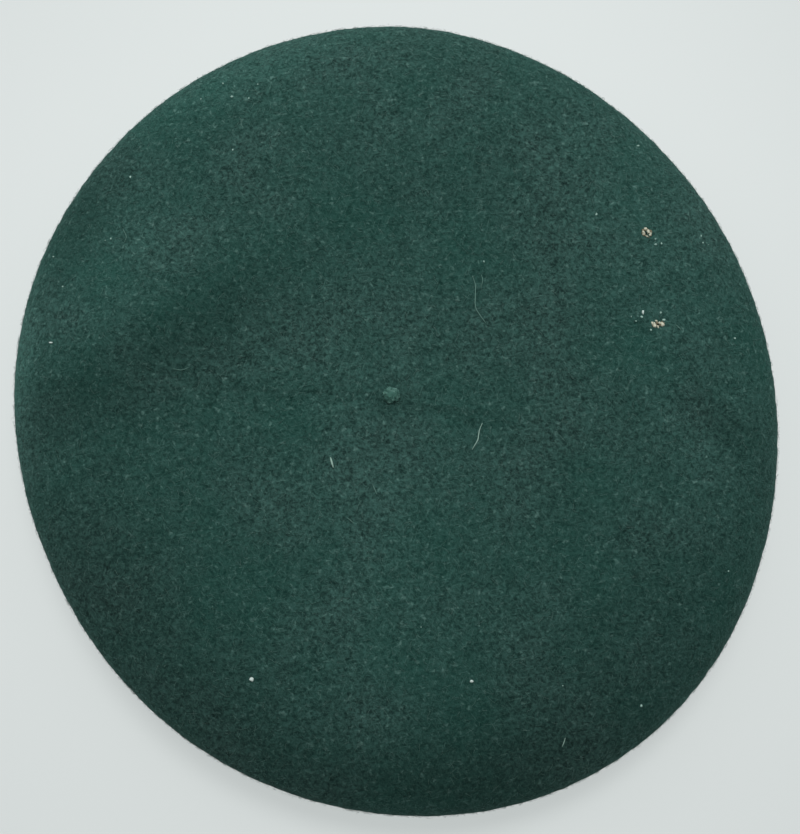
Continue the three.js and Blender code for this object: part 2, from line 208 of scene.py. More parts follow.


# Soft patches on the crown. A row gives the middle in plan from the nub, the direction, the half length, the
# half width and an amount, in mm and degrees. For FOLDS the amount is a height. The table after FOLDS is
# painted light and shade, standing in for the nap lying toward or away from the light: its amount is a change
# of tone that paints the crown lighter mostly at the top and along the left rim, and darker mostly towards the
# bottom.
FOLDS = [
    (-95, 22, 28, 40, 14, 3.2),
    (-88, 72, 45, 40, 26, -1.6),
    (84, 40, -62, 36, 20, 1.6),
    (108, -4, 60, 16, 9, -1.8),
    (-88, -74, -45, 40, 24, -1.6),
    (0, -118, 0, 70, 24, -1.6),
]
PAINTED_LIGHT_PATCHES = [
    (-95, 45, 50, 45, 14, 0.12),
    (-55, 117, 25, 45, 10, 0.28),
    (-129, 0, 88, 50, 7, 0.45),
    (95, 45, 110, 60, 30, 0.15),
    (100, -12, 120, 25, 8, 0.1),
    (-5, -45, 95, 60, 28, 0.12),
    (-112, -26, 60, 25, 10, 0.12),
    (-70, 18, 35, 45, 16, -0.27),
    (-112, -2, 15, 20, 9, -0.2),
    (-90, -70, 130, 50, 22, -0.28),
    (45, -118, 15, 45, 18, -0.25),
    (112, -8, 150, 14, 7, -0.3),
    (20, 72, 10, 50, 18, -0.06),
    (-107, 68, 65, 20, 9, -0.25),
    (85, -85, 50, 45, 25, -0.12),
    (-50, -112, 150, 35, 15, -0.15),
    (0, -127, 0, 80, 12, -0.25),
]
PAINTED_CREASE_SHADE = [  # painted shade in the hollow round the nub, in the fine creases that run in to it and in one dent, with rows as in the table above
    (1, -1.5, 0, 7, 4.5, -0.25),
    (-24, 2, -2, 16, 0.8, -0.3),
    (-54, 3, -3, 14, 1, -0.15),
    (-4.5, -12, 84, 9, 0.7, -0.3),
    (-14, -26, 60, 12, 1, -0.18),
    (24, -4, -6, 14, 0.9, -0.22),
    (13, 16, 52, 10, 0.8, -0.16),
    (-7, 18, 108, 9, 0.8, -0.14),
    (-112, -31, 0, 3, 1.5, -0.35),
]


def soft_patches(plan, patches):
    """The sum of soft-edged patches at places in plan from the nub."""
    total = np.zeros(plan.shape[:-1])
    for x, y, direction, half_length, half_width, amount in patches:
        heading = np.array([math.cos(math.radians(direction)), math.sin(math.radians(direction))])
        offset = plan / MM - np.array([x, y])
        along = offset @ heading / half_length
        across = (offset[..., 1] * heading[0] - offset[..., 0] * heading[1]) / half_width
        total += amount * np.exp(-along ** 2 - across ** 2)
    return total


def soft_relief(points):
    """Height of the crown's slack folds over the plain dome."""
    plan = points[..., :2] - NUB
    radius = np.linalg.norm(plan, axis=-1)
    relief = 0.3 * MM * ripple(points, 75 * MM, 3) + 0.16 * MM * ripple(points, 28 * MM, 4)
    relief += soft_patches(plan, FOLDS) * MM
    relief *= smoothstep(radius, 20 * MM, 60 * MM) * smoothstep(points[..., 2], 23 * MM, 35 * MM)
    return relief - 0.6 * MM * (1 - smoothstep(radius, 2 * MM, 8 * MM))


def rim_sag(turn, station):
    """How far the slack rim hangs from its even height, which leaves the headband and the top alone."""
    slack = smoothstep(station, 1.4, 3.2) * (1 - smoothstep(station, RIM, RIM + 0.75))
    return waves_round(turn, RIM_SAG) * slack


def shaped(turn, station, depth=0.0):
    """Points under the felt's outer face by a depth, with the crown's folds, and the normals there."""
    turn, station = np.broadcast_arrays(np.asarray(turn, float), np.asarray(station, float))
    point = felt_surface(turn, station)
    normal = felt_normal(turn, station)
    point = point + normal * (soft_relief(point) - depth)[..., None]
    point[..., 2] += rim_sag(turn, station)
    return point, normal


# ---- Mesh building ----


def new_piece(name, vertices, faces, material):
    """A mesh object that rides on the beret's one body."""
    mesh = bpy.data.meshes.new(name)
    mesh.from_pydata(np.asarray(vertices).reshape(-1, 3).tolist(), [], faces)
    mesh.materials.append(material)
    mesh.polygons.foreach_set("use_smooth", [True] * len(mesh.polygons))
    piece = bpy.data.objects.new(name, mesh)
    bpy.context.scene.collection.objects.link(piece)
    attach(piece, "root")
    return piece


def grid_faces(rows, columns, wrap_rows, wrap_columns, start=0):
    row = np.arange(rows if wrap_rows else rows - 1)[:, None]
    column = np.arange(columns if wrap_columns else columns - 1)[None, :]
    next_row = (row + 1) % rows
    next_column = (column + 1) % columns
    corners = [row * columns + column, row * columns + next_column,
               next_row * columns + next_column, next_row * columns + column]
    return (np.stack(np.broadcast_arrays(*corners), axis=-1).reshape(-1, 4) + start).tolist()


def end_strips(rows, columns):
    """Faces that close both ends of a row of flat loops, each as a strip of quads across the loop."""
    return [[start + k, start + k + 1, start + columns - 2 - k, start + columns - 1 - k]
            for start in (0, (rows - 1) * columns) for k in range(columns // 2 - 1)]


def face_outward(piece, weld=False):
    """Turns every face outward, after joining the vertices that lie together at a pole."""
    work = bmesh.new()
    work.from_mesh(piece.data)
    if weld:
        bmesh.ops.remove_doubles(work, verts=work.verts, dist=1e-4 * MM)
    bmesh.ops.recalc_face_normals(work, faces=work.faces)
    work.to_mesh(piece.data)
    work.free()


def set_cloth(piece, along, across):
    """Stores how far each vertex lies along and across its cloth, for the weave."""
    layer = piece.data.attributes.new("cloth", "FLOAT_VECTOR", "POINT")
    values = np.stack([np.ravel(along), np.ravel(across), np.zeros(np.size(along))], axis=-1)
    layer.data.foreach_set("vector", values.ravel())


def there_and_back(face, back=None):
    """Joins each row of a face to the same row of its back, which runs the other way."""
    return np.concatenate([face, (face if back is None else back)[:, ::-1]], axis=1)


def ring_turns(count):
    return np.linspace(0, FULL, count, endpoint=False)


def open_turns(count, opening):
    half = opening / 2 / (HEAD_LENGTH / 2 + FELT_OUTSIDE)
    return np.linspace(-math.pi + half, math.pi - half, count)


def tube_faces(rings, sides, tubes):
    """Faces of many equal closed tubes whose vertices are listed ring by ring, each with two end caps."""
    one = grid_faces(rings, sides, False, True)
    one.append(list(range(sides))[::-1])
    one.append([(rings - 1) * sides + k for k in range(sides)])
    step = rings * sides
    return [[v + t * step for v in face] for t in range(tubes) for face in one]


def tubes(paths, radius, sides, taper):
    """Vertices of round tubes along paths of shape (tubes, rings, 3)."""
    along = np.gradient(paths, axis=1)
    along /= np.linalg.norm(along, axis=-1, keepdims=True)
    helper = np.where(np.abs(along[..., 2:]) > 0.9, [[[1.0, 0, 0]]], [[[0, 0, 1.0]]])
    side = np.cross(along, helper)
    side /= np.linalg.norm(side, axis=-1, keepdims=True)
    other = np.cross(along, side)
    angle = ring_turns(sides)
    scale = np.broadcast_to(radius * np.asarray(taper), paths.shape[:2])[..., None, None]
    circle = side[..., None, :] * np.cos(angle)[:, None] + other[..., None, :] * np.sin(angle)[:, None]
    return paths[..., None, :] + circle * scale


def new_tubes(name, paths, radius, sides, material, taper=1.0):
    """One piece made of many round tubes."""
    paths = np.asarray(paths)
    count, rings = paths.shape[:2]
    faces = tube_faces(rings, sides, count)
    return new_piece(name, tubes(paths, radius, sides, taper), faces, material)


def on_ball(turn, rise):
    """Points of a ball with a radius of one."""
    return np.stack([np.cos(turn) * np.cos(rise), np.sin(turn) * np.cos(rise), np.sin(rise)], axis=-1)


# ---- Materials ----


def connect(tree, node, name, value):
    """Links a socket to a node's input, or sets the input to a plain value."""
    if isinstance(value, bpy.types.NodeSocket):
        tree.links.new(value, node.inputs[name])
    else:
        node.inputs[name].default_value = value


def new_node(tree, kind, inputs, **settings):
    """Adds a node with settings of its own and with its inputs, by name or number."""
    node = tree.nodes.new(f"ShaderNode{kind}")
    for name, value in settings.items():
        setattr(node, name, value)
    for name, value in inputs.items():
        connect(tree, node, name, value)
    return node


class Nodes:
    """Short forms for building one Principled material."""

    def __init__(self, name, roughness, metallic=0.0, specular=0.5):
        self.material = bpy.data.materials.new(name)
        self.material.use_nodes = True
        self.tree = self.material.node_tree
        self.shader = self.tree.nodes["Principled BSDF"]
        self.finish("Roughness", roughness)
        self.finish("Metallic", metallic)
        self.finish("Specular IOR Level", specular)
        self.place = new_node(self.tree, "TexCoord", {}).outputs["Object"]

    def finish(self, name, value):
        """Sets one input of the material's shader."""
        connect(self.tree, self.shader, name, value)

    def base_colour(self, value):
        self.finish("Base Color", value)

    def made(self, kind, output, inputs, **settings):
        """Adds a node and gives the one output that is wanted of it."""
        return new_node(self.tree, kind, inputs, **settings).outputs[output]

    def attribute(self, name, output="Vector"):
        return self.made("Attribute", output, {}, attribute_name=name)

    def mapped(self, vector, size, turn=0.0):
        """The vector turned about Z, then counted in steps of a size."""
        inputs = {"Vector": vector, "Scale": size, "Rotation": (0, 0, turn)}
        return self.made("Mapping", "Vector", inputs, vector_type="TEXTURE")

    def noise(self, vector, wavelength, detail=2.0, roughness=0.5, distortion=0.0):
        return self.made("TexNoise", "Fac", {"Vector": vector, "Scale": 1 / wavelength, "Detail": detail,
                                             "Roughness": roughness, "Distortion": distortion})

    def cells(self, vector, size):
        return self.made("TexVoronoi", "Distance", {"Vector": vector, "Scale": 1 / size})

    def wave(self, vector, wavelength, direction, distortion):
        inputs = {"Vector": vector, "Scale": FULL / 20 / wavelength, "Distortion": distortion}
        return self.made("TexWave", "Fac", inputs, bands_direction=direction)

    def ramp(self, value, low, high, to_low=0.0, to_high=1.0):
        return self.made("MapRange", "Result", {"Value": value, "From Min": low, "From Max": high,
                                                "To Min": to_low, "To Max": to_high})

    def maths(self, operation, a, b=0.0):
        return self.made("Math", "Value", {0: a, 1: b}, operation=operation)

    def plus(self, a, b):
        return self.maths("ADD", a, b)

    def times(self, a, b):
        return self.maths("MULTIPLY", a, b)

    def blend(self, share, a, b):
        """The colour between two others at a share of the way."""
        node = new_node(self.tree, "Mix", {}, data_type="RGBA")
        places = {socket.identifier: number for number, socket in enumerate(node.inputs)}
        for name, value in (("Factor_Float", share), ("A_Color", a), ("B_Color", b)):
            connect(self.tree, node, places[name], value)
        return next(socket for socket in node.outputs if socket.identifier == "Result_Color")

    def bump(self, height, distance, strength=1.0):
        inputs = {"Strength": strength, "Distance": distance, "Height": height}
        self.finish("Normal", self.made("Bump", "Normal", inputs))

    def sheen(self, weight, roughness, tint):
        self.finish("Sheen Weight", weight)
        self.finish("Sheen Roughness", roughness)
        self.finish("Sheen Tint", tint)


def colour(red, green, blue):
    """A linear colour from the values, 0 to 255, that a screen shows."""
    def linear(value):
        share = value / 255
        return share / 12.92 if share <= 0.04045 else ((share + 0.055) / 1.055) ** 2.4
    return (linear(red), linear(green), linear(blue), 1.0)


def felt_material():
    felt = Nodes("felt_wool", 0.95, specular=0.12)
    place = felt.place
    clumps = felt.ramp(felt.noise(place, 3.4 * MM, 4, 0.6, 0.5), 0.34, 0.66)
    tufts = felt.ramp(felt.noise(place, 1.15 * MM, 2, 0.55, 0.6), 0.36, 0.68)
    patches = felt.ramp(felt.noise(place, 38 * MM, 3, 0.5), 0.35, 0.66)
    fibres = None
    for turn in (0.2, 1.25, 2.3):
        lane = felt.mapped(place, (3.0 * MM, 0.32 * MM, 0.9 * MM), turn)
        layer = felt.ramp(felt.noise(lane, 1.0, 2, 0.5, 0.9), 0.58, 0.76)
        fibres = layer if fibres is None else felt.maths("MAXIMUM", fibres, layer)
    grain = felt.plus(felt.times(clumps, 0.3), felt.times(tufts, 0.7))
    base = felt.blend(grain, colour(14, 35, 32), colour(61, 96, 89))
    base = felt.blend(felt.times(patches, 0.52), base, colour(20, 67, 58))
    flecks = felt.ramp(felt.noise(place, 1.7 * MM, 2, 0.6, 0.4), 0.6, 0.78)
    base = felt.blend(felt.times(fibres, 0.5), base, colour(84, 120, 112))
    base = felt.blend(felt.times(flecks, 0.65), base, colour(98, 132, 124))
    # The base colour is scaled by the painted light and shade stored at each vertex of the crown.
    inputs = {"Vector": base, "Scale": felt.attribute("painted_light_tone", "Fac")}
    felt.base_colour(felt.made("VectorMath", "Vector", inputs, operation="SCALE"))
    felt.sheen(0.2, 0.5, colour(120, 175, 162))
    relief = felt.plus(felt.times(tufts, 0.45), felt.times(fibres, 0.25))
    relief = felt.plus(relief, felt.times(clumps, 0.5))
    felt.bump(relief, 0.4 * MM, 0.8)
    return felt.material


def nub_material():
    nub = Nodes("nub_wool_ends", 0.95, specular=0.12)
    tufts = nub.ramp(nub.noise(nub.place, 1.4 * MM, 3, 0.6, 0.5), 0.42, 0.6)
    nub.base_colour(nub.blend(tufts, colour(50, 86, 78), colour(108, 148, 137)))
    nub.sheen(0.3, 0.5, colour(140, 190, 178))
    nub.bump(tufts, 0.25 * MM, 0.8)
    return nub.material


def plain_fibre_material(name, tint, roughness=0.9):
    fibre = Nodes(name, roughness, specular=0.2)
    fibre.base_colour(tint)
    return fibre.material


def leather_material():
    leather = Nodes("black_leather", 0.5, specular=0.4)
    place = leather.place
    grain = leather.cells(place, 1.0 * MM)
    creases = leather.noise(place, 7 * MM, 4, 0.6, 1.2)
    height = leather.made("SeparateXYZ", "Z", {"Vector": place})
    fold = leather.ramp(height, 2.4 * MM, 0.2 * MM)
    scuffs = leather.ramp(leather.noise(place, 2.2 * MM, 4, 0.65, 1.0), 0.5, 0.68)
    base = leather.blend(leather.ramp(grain, 0.1, 0.6), colour(20, 20, 22), colour(42, 42, 44))
    worn = leather.times(leather.times(fold, scuffs), 0.5)
    base = leather.blend(worn, base, colour(112, 96, 80))
    leather.base_colour(base)
    leather.finish("Roughness", leather.ramp(creases, 0.3, 0.7, 0.4, 0.62))
    relief = leather.plus(leather.times(grain, 0.45), leather.times(creases, 0.6))
    leather.bump(relief, 0.2 * MM, 0.8)
    return leather.material


def woven_material(name, dark, light, yarn, roughness=0.75):
    """Plain weave along the stored cloth directions, with a pitch of two yarns."""
    weave = Nodes(name, roughness, specular=0.25)
    cloth = weave.attribute("cloth")
    warp = weave.wave(cloth, 2 * yarn, "X", 0.4)
    weft = weave.wave(cloth, 2 * yarn, "Y", 0.4)
    over = weave.maths("ABSOLUTE", weave.maths("SUBTRACT", warp, weft))
    slub = weave.noise(cloth, 6 * MM, 3, 0.6)
    tone = weave.plus(weave.times(over, 0.6), weave.ramp(slub, 0.3, 0.7, 0, 0.4))
    weave.base_colour(weave.blend(tone, dark, light))
    weave.bump(over, yarn * 0.35, 0.8)
    weave.sheen(0.15, 0.4, light)
    return weave.material


def thread_material():
    thread = Nodes("sewing_thread", 0.6, specular=0.4)
    tone = thread.noise(thread.place, 0.5 * MM, 2)
    thread.base_colour(thread.blend(tone, colour(22, 24, 26), colour(58, 60, 62)))
    thread.bump(tone, 0.05 * MM)
    return thread.material


def japanned_material():
    brass = Nodes("japanned_brass", 0.35, metallic=0.6, specular=0.5)
    chips = brass.ramp(brass.noise(brass.place, 0.9 * MM, 4, 0.7), 0.6, 0.68)
    brass.base_colour(brass.blend(chips, colour(26, 26, 24), colour(150, 118, 62)))
    brass.finish("Metallic", brass.ramp(chips, 0, 1, 0.35, 1))
    brass.bump(brass.noise(brass.place, 0.4 * MM, 2), 0.03 * MM)
    return brass.material


def buckram_material():
    buckram = Nodes("buckram_canvas", 0.85, specular=0.2)
    cloth = buckram.attribute("cloth")
    warp = buckram.wave(cloth, 1.1 * MM, "X", 0.6)
    weft = buckram.wave(cloth, 1.1 * MM, "Y", 0.6)
    mesh = buckram.maths("MAXIMUM", warp, weft)
    buckram.base_colour(buckram.blend(mesh, colour(150, 140, 112), colour(214, 206, 182)))
    buckram.bump(mesh, 0.2 * MM)
    return buckram.material


# ---- The felt crown ----

CROWN_TURNS = 560
CROWN_SPACING = 1.35 * MM
HIDDEN_SPACING = 9 * MM
# An overall darkening added to the painted light and shade on the crown.
PAINTED_LIGHT_PATCHES_MEAN = -0.06


def nap_relief(points):
    """Small lumps of the felted surface, with faint rays from the nub."""
    plan = points[..., :2] - NUB
    radius = np.linalg.norm(plan, axis=-1)
    turn = np.arctan2(plan[..., 1], plan[..., 0])
    lumps = 0.05 * MM * ripple(points, 7 * MM, 5) + 0.05 * MM * ripple(points, 3.4 * MM, 6)
    rays = sum(np.cos(count * turn + phase) for count, phase in ((9, 0.4), (14, 2.0), (23, 4.1)))
    fade = smoothstep(radius, 3 * MM, 12 * MM) * (1 - smoothstep(radius, 30 * MM, 80 * MM))
    return lumps + 0.09 * MM * rays * fade * smoothstep(points[..., 2], 30 * MM, 40 * MM)


def crown_faces():
    """The felt's outer points, nub first, and their normals."""
    stations = even_stations(TOP, EDGE, CROWN_SPACING)
    turn, station = np.meshgrid(ring_turns(CROWN_TURNS), stations, indexing="ij")
    outer, normal = shaped(turn, station)
    return outer + normal * nap_relief(outer)[..., None], normal


def set_painted_light_tone(crown):
    """Stores the painted light and shade on the crown as a tone at each vertex: lighter mostly at the top and
    the left rim, darker towards the bottom and in the hollow and creases round the nub.
    """
    places = np.empty(len(crown.data.vertices) * 3)
    crown.data.vertices.foreach_get("co", places)
    places = places.reshape(-1, 3)
    painted_shading = soft_patches(places[:, :2] - NUB, PAINTED_LIGHT_PATCHES + PAINTED_CREASE_SHADE)
    painted_shading *= smoothstep(places[:, 2], 17 * MM, 28 * MM)
    tone = crown.data.attributes.new("painted_light_tone", "FLOAT", "POINT")
    tone.data.foreach_set("value", np.exp(painted_shading + PAINTED_LIGHT_PATCHES_MEAN))


def crown_felt(material):
    outer, normal = crown_faces()
    stations = even_stations(EDGE, TOP, HIDDEN_SPACING)
    turn, station = np.meshgrid(ring_turns(CROWN_TURNS), stations, indexing="ij")
    inner, _ = shaped(turn, station, FELT)
    sections = np.concatenate([outer, inner], axis=1)
    faces = grid_faces(*sections.shape[:2], True, False)
    crown = new_piece("crown_felt", sections, faces, material)
    face_outward(crown, weld=True)
    for place in vent_places():
        punch(crown, place)
    set_painted_light_tone(crown)
    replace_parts(crown, "crown_felt_shell")
    return outer, normal


# ---- Crown details: nub, nap, lint and the badge's pin marks ----


def on_crown(plan):
    """Points of the folded crown, and normals, at places given in plan from the nub."""
    plan = np.asarray(plan, float)
    heading = np.arctan2(plan[..., 1], plan[..., 0])
    turn = heading
    for _ in range(6):
        rim = crown_outline(turn) - NUB
        turn = turn + (heading - np.arctan2(rim[..., 1], rim[..., 0]) + math.pi) % FULL - math.pi
    spread = np.linalg.norm(plan, axis=-1) / np.linalg.norm(crown_outline(turn) - NUB, axis=-1)
    return shaped(turn, RIM + np.arccos(spread.clip(0, 1) ** (CROWN_FLATNESS / 2)) / QUARTER)


NUB_HALF = np.array([2.6, 2.3, 1.3]) * MM
NUB_FRAY_HALF = np.array([2.4, 2.15, 1.5]) * MM
NUB_LEAN = np.array([0.1, -0.1])  # how far it leans, as a share of the height
NUB_PULL = np.array([0.2, 1.1]) * MM  # how far it is pulled from its middle in the CAD model
NUB_PRESSED = 0.7 * MM
NUB_FIBRES = 260


def crown_nub():
    """The trimmed stub of the knitted blank: a small lumpy knob with a flattened top."""
    turn, rise = np.meshgrid(ring_turns(64), np.linspace(-QUARTER, QUARTER, 34), indexing="ij")
    knob = on_ball(turn, rise)
    knob[..., 2] = np.tanh(2 * knob[..., 2]) / math.tanh(2)
    lumps = 1 + 0.1 * ripple(knob, 1.5, 11) + 0.11 * ripple(knob, 0.6, 12)
    knob = knob * lumps[..., None] * NUB_HALF
    knob[..., :2] += (knob[..., 2:] + NUB_HALF[2]) * NUB_LEAN
    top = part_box("crown_nub")[1][2] - NUB_PRESSED
    knob += np.array([*(NUB + NUB_PULL), top - knob[..., 2].max()])
    nub = new_piece("crown_nub_stub", knob, grid_faces(*turn.shape, True, False), nub_material())
    face_outward(nub, weld=True)
    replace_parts(nub, "crown_nub")
    nub_fray(knob.reshape(-1, 3).mean(axis=0), top)


def nub_fray(centre, top):
    """Frayed wool round the nub, no higher than its top."""
    draw = np.random.default_rng(13)
    around = draw.uniform(0, FULL, NUB_FIBRES)
    away = on_ball(around, draw.uniform(0.1, QUARTER, NUB_FIBRES))
    spot = centre + away * NUB_FRAY_HALF
    paths = fibre_paths(spot, away, draw, (0.8 * MM, 2.2 * MM), (0.1 * MM, 0.5 * MM), 0.4)
    paths[..., 2] = np.minimum(paths[..., 2], top)
    wool = plain_fibre_material("nub_wool", colour(80, 126, 114))
    new_tubes("crown_nub_fibres", paths, 0.055 * MM, 3, wool)


def scatter_on(outer, normal, count, draw):
    """Random places spread evenly over the felt's visible face."""
    corner = outer[:, :-1]
    along = outer[:, 1:] - corner
    around = np.roll(outer, -1, axis=0)[:, :-1] - corner
    area = np.linalg.norm(np.cross(along, around), axis=-1)
    area[corner[..., 2] < WALL_TOP - 1 * MM] = 0
    cell = draw.choice(area.size, count, p=(area / area.sum()).ravel())
    row, column = np.unravel_index(cell, area.shape)
    spot = corner[row, column] + along[row, column] * draw.random((count, 1))
    spot += around[row, column] * draw.random((count, 1))
    return spot, normal[row, column]


def fibre_paths(spot, normal, draw, length, lift, bend):
    """Curved paths over the felt, half sunk at both ends and loose in between or at the tip."""
    count = len(spot)
    heading = np.cross(normal, draw.normal(size=(count, 3)))
    heading /= np.linalg.norm(heading, axis=1, keepdims=True)
    side = np.cross(normal, heading)
    size = draw.uniform(*length, (count, 1, 1))
    share = np.linspace(0, 1, 4)[None, :, None]
    curl = draw.normal(0, bend, (count, 1, 1)) * size
    free_tip = draw.random((count, 1, 1)) < 0.25
    rise = draw.uniform(*lift, (count, 1, 1)) * np.where(free_tip, share, np.sin(share * math.pi))
    sunk = -0.05 * MM
    return (spot[:, None] + heading[:, None] * size * share + side[:, None] * curl * share ** 2
            + normal[:, None] * (rise + sunk))


NAP = [  # the wool's tone, how many fibres, their colour and how far they lift
    ("dark", 9000, colour(30, 52, 48), (0.1 * MM, 0.35 * MM)),
    ("middle", 9000, colour(58, 88, 82), (0.15 * MM, 0.5 * MM)),
    ("pale", 3200, colour(104, 132, 124), (0.2 * MM, 0.7 * MM)),
]
RIM_FIBRES = 5000


def crown_nap(outer, normal):
    """Loose wool on the felt, as three pieces of one tone each."""
    draw = np.random.default_rng(21)
    for tone, count, tint, lift in NAP:
        spot, up = scatter_on(outer, normal, count, draw)
        paths = fibre_paths(spot, up, draw, (1.0 * MM, 3.4 * MM), lift, 0.35)
        wool = plain_fibre_material(f"wool_{tone}", tint)
        new_tubes(f"crown_nap_{tone}", paths, 0.032 * MM, 3, wool)
    rim_fuzz(draw)


def rim_fuzz(draw):
    """Short wool that stands out round the rim and softens its outline."""
    turn = draw.uniform(0, FULL, RIM_FIBRES)
    spot, up = shaped(turn, draw.uniform(RIM - 0.45, RIM + 0.25, RIM_FIBRES))
    paths = fibre_paths(spot, up, draw, (0.8 * MM, 2.2 * MM), (0.3 * MM, 0.8 * MM), 0.4)
    wool = plain_fibre_material("wool_rim", colour(84, 118, 112))
    new_tubes("rim_fuzz", paths, 0.03 * MM, 3, wool)


# Loose lint: points in plan from the nub, in mm, the half thickness and how bright it is. The points were read
# off the enlarged photo. A scratch program turned most of them into mm and found some of the spots.
LINT = [
    ([(27.5, 42), (28.5, 39), (28.5, 35.5), (28.5, 31), (30.5, 27.5), (32, 25.5)], 0.15, "faded"),
    ([(30.5, -8.5), (29.5, -11), (29, -14), (28.5, -15), (27, -17.5)], 0.17, "pale"),
    ([(30.5, 42.5), (31, 40.5), (30.5, 38)], 0.1, "faded"),
    ([(-20, -20), (-19, -23.5)], 0.33, "pale"),
    ([(57.5, -112), (57, -113.5), (56.5, -115)], 0.15, "pale"),
    ([(-73, 10), (-70, 9.5), (-67.5, 10.5)], 0.09, "faded"),
    ([(-92, 60), (-90.5, 57), (-91, 55)], 0.1, "faded"),
    ([(-14.5, -40), (-12, -42)], 0.1, "faded"),
    ([(96, 25.5), (98, 23.5)], 0.12, "faded"),
    ([(-6, -29), (-4.5, -32.5)], 0.12, "faded"),
]

# Pale specks: place in plan from the nub and size, in mm. The places are bright spots that a scratch program
# found in the photo, rounded to half a millimetre. They weren't placed by eye.
SPECKS = [
    (-45.5, -93, 1.3), (26.5, -93.5, 1.0), (-114.5, 20, 1.0), (-117, 52, 0.7), (86, 91, 0.8),
    (83, -101.5, 0.7), (70, 64, 0.8), (10, -76, 0.6), (-66.5, 108, 0.6), (-54.5, 87.5, 0.6),
    (-55.5, 108, 0.7), (-59, 114, 0.6), (-49.5, 107, 0.7), (-46.5, 112.5, 0.5), (-96, 56.5, 0.8),
    (-98, 56, 0.6), (-90.5, 79.5, 0.6), (112.5, -57, 0.6), (106.5, 58, 0.6), (109, 55, 0.5),
    (107, 55.5, 0.4), (117, 22, 0.5), (90, 55.5, 0.6), (90, 53.5, 0.6), (92, 54, 0.5),
    (85, 29.5, 1.0), (84.5, 28, 0.8), (81, 28, 0.6), (82.5, 26.5, 0.5), (91, 29.5, 0.7),
    (92, 27, 0.8), (87.5, 23.5, 0.6), (31.5, 47, 0.6), (-112, 40, 0.5), (56.5, -95, 0.5),
]

# Marks of the badge's two pins, in mm: place in plan from the nub and half extents. The places began as spots
# from the same program and were then moved by eye.
PIN_MARKS = [(87, 57.5, 1.4, 1.4), (90, 25.5, 1.8, 1.0)]


def grains(name, centres, normals, sizes, draw, material):
    """Small irregular crumbs, each a lumpy flattened ball."""
    turn, rise = np.meshgrid(ring_turns(8), np.linspace(-QUARTER, QUARTER, 6)[1:-1], indexing="ij")
    ball = on_ball(turn, rise).transpose(1, 0, 2)
    rings, sides = ball.shape[:2]
    rough = draw.uniform(0.65, 1.3, (len(centres), rings, sides, 1))
    stretch = draw.uniform(0.55, 1.5, (len(centres), 1, 1, 3))
    crumbs = ball[None] * rough * stretch * (np.asarray(sizes) / 2)[:, None, None, None]
    crumbs = crumbs + (centres + normals * 0.1 * MM)[:, None, None]
    return new_piece(name, crumbs, tube_faces(rings, sides, len(centres)), material)


def crown_lint():
    tones = {
        "white": plain_fibre_material("white_lint", colour(206, 222, 216), 0.8),
        "speck": plain_fibre_material("pale_specks", colour(160, 192, 182), 0.8),
        "pale": plain_fibre_material("pale_lint", colour(150, 180, 168), 0.8),
        "faded": plain_fibre_material("faded_lint", colour(98, 132, 122), 0.8),
        "cream": plain_fibre_material("cream_backing", colour(204, 204, 184), 0.8),
        "tan": plain_fibre_material("tan_backing", colour(124, 116, 94), 0.8),
        # painted shade for the inside of the pin holes
        "dark": plain_fibre_material("pin_hole_shade", colour(22, 30, 26), 0.95),
    }
    draw = np.random.default_rng(8)
    lint_fibres(tones)
    lint_specks(tones, draw)
    for number, mark in enumerate(np.array(PIN_MARKS) * MM, 1):
        pin_mark(number, mark[:2], mark[2:], tones, draw)


def lint_fibres(tones):
    for number, (points, half_thickness, tone) in enumerate(LINT, 1):
        plan = smooth_path(np.array(points) * MM, 16)
        place, up = on_crown(plan)
        lift = 0.2 * MM + 0.3 * MM * np.sin(np.linspace(0, math.pi, len(plan)))
        taper = 0.35 + 0.65 * np.sin(np.linspace(0.15, math.pi - 0.15, len(plan)))
        path = place + up * lift[:, None]
        new_tubes(f"lint_fibre_{number}", [path], half_thickness * MM, 6, tones[tone], taper)


def lint_specks(tones, draw):
    specks = np.array(SPECKS) * MM
    place, up = on_crown(specks[:, :2])
    big = specks[:, 2] > 0.9 * MM
    grains("lint_specks_white", place[big], up[big], specks[big, 2], draw, tones["white"])
    grains("lint_specks_pale", place[~big], up[~big], specks[~big, 2], draw, tones["speck"])


def pin_mark(number, middle, half, tones, draw):
    """A ring of crumbs of backing where a pin has worn the felt, round dark crumbs that paint the shade in the
    pin's hole.
    """
    count = 26
    turn = ring_turns(count) + draw.normal(0, 0.2, count)
    ring = np.stack([np.cos(turn), np.sin(turn)], axis=-1) * half * draw.uniform(0.45, 1.2, (count, 1))
    place, up = on_crown(middle + ring)
    size = draw.uniform(0.35, 1.15, count) * MM
    grains(f"pin_mark_{number}_cream", place[::2], up[::2], size[::2], draw, tones["cream"])
    grains(f"pin_mark_{number}_tan", place[1::2], up[1::2], size[1::2] * 0.9, draw, tones["tan"])
    # Dark crumbs in the middle paint the shade inside the pin's hole.
    place, up = on_crown(middle + draw.normal(0, 0.25 * MM, (3, 2)))
    grains(f"pin_hole_shade_{number}", place, up, draw.uniform(0.4, 0.7, 3) * MM, draw, tones["dark"])


# ---- Leather binding, its stitches and the drawstring ----


def smooth_path(points, steps):
    """Catmull-Rom curve through the points."""
    points = np.asarray(points, float)
    ends = [2 * points[0] - points[1], *points, 2 * points[-1] - points[-2]]
    share = np.linspace(0, len(points) - 1, steps)
    leg = np.minimum(share.astype(int), len(points) - 2)
    t = (share - leg)[:, None]
    a, b, c, d = (np.array([ends[i + k] for i in leg]) for k in range(4))
    square = (2 * a - 5 * b + 4 * c - d) * t ** 2
    cube = (3 * b - a - 3 * c + d) * t ** 3
    return 0.5 * (2 * b + (c - a) * t + square + cube)


def arc(centre, radius, first, last, steps):
    angle = np.radians(np.linspace(first, last, steps))
    return [(centre[0] + radius * math.cos(a), centre[1] + radius * math.sin(a)) for a in angle]


